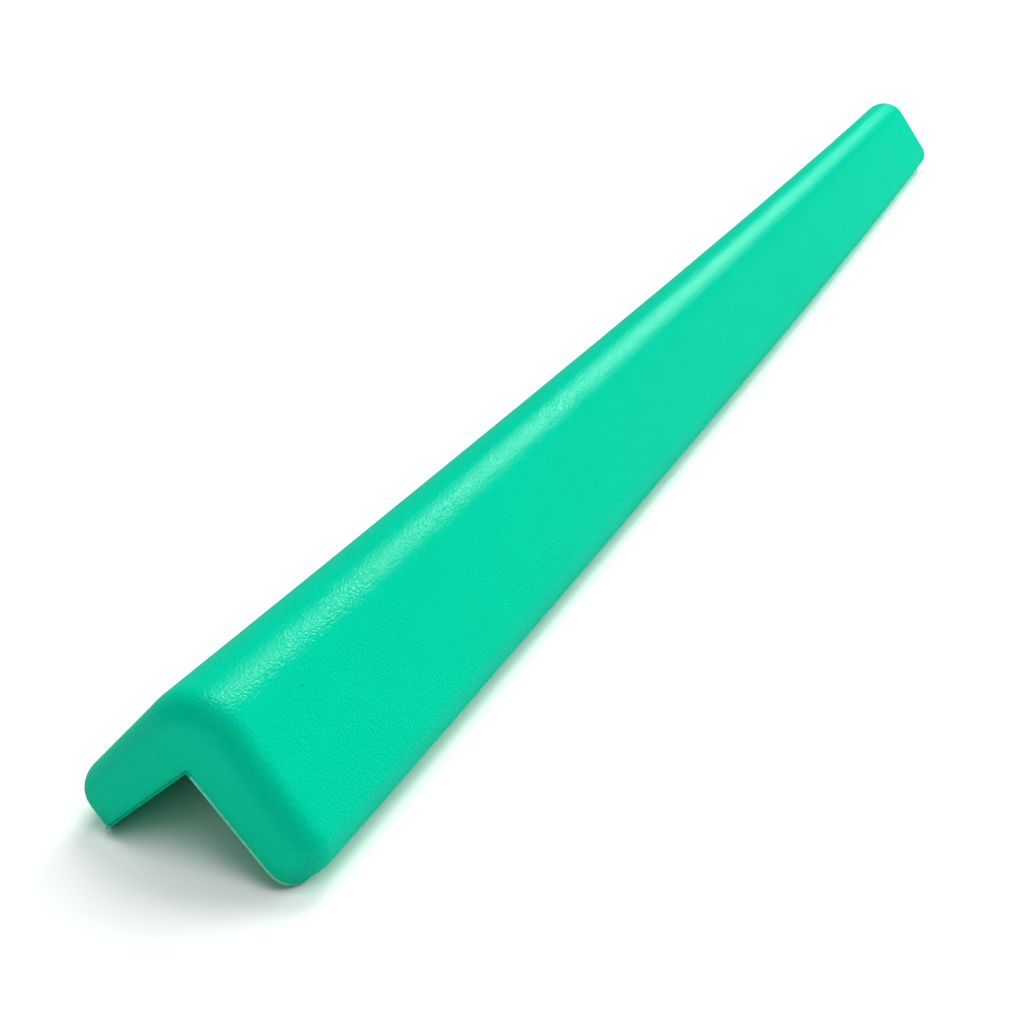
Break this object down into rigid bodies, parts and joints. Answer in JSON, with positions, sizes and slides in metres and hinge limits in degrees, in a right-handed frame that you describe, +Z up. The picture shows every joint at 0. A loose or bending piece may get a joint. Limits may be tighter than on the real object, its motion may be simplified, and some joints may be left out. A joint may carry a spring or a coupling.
{
  "type": "corner guard moulding",
  "caption": "Straight soft foam guard with an L section: rounded ridge, tapering legs, rounded ends and an open right-angled channel that fits over a wall corner.",
  "frame": {"origin": "middle of the footprint, on the floor that the two leg tips stand on", "axes": "+X along the length, +Z up from the floor to the ridge, Y across the two legs"},
  "size_m": [1, 0.0716, 0.0479],
  "materials": {
    "foam_skin": "satin leather-grained skin"
  },
  "bodies": {
    "root": {"corner_guard": "foam_skin"}
  },
  "joints": []
}
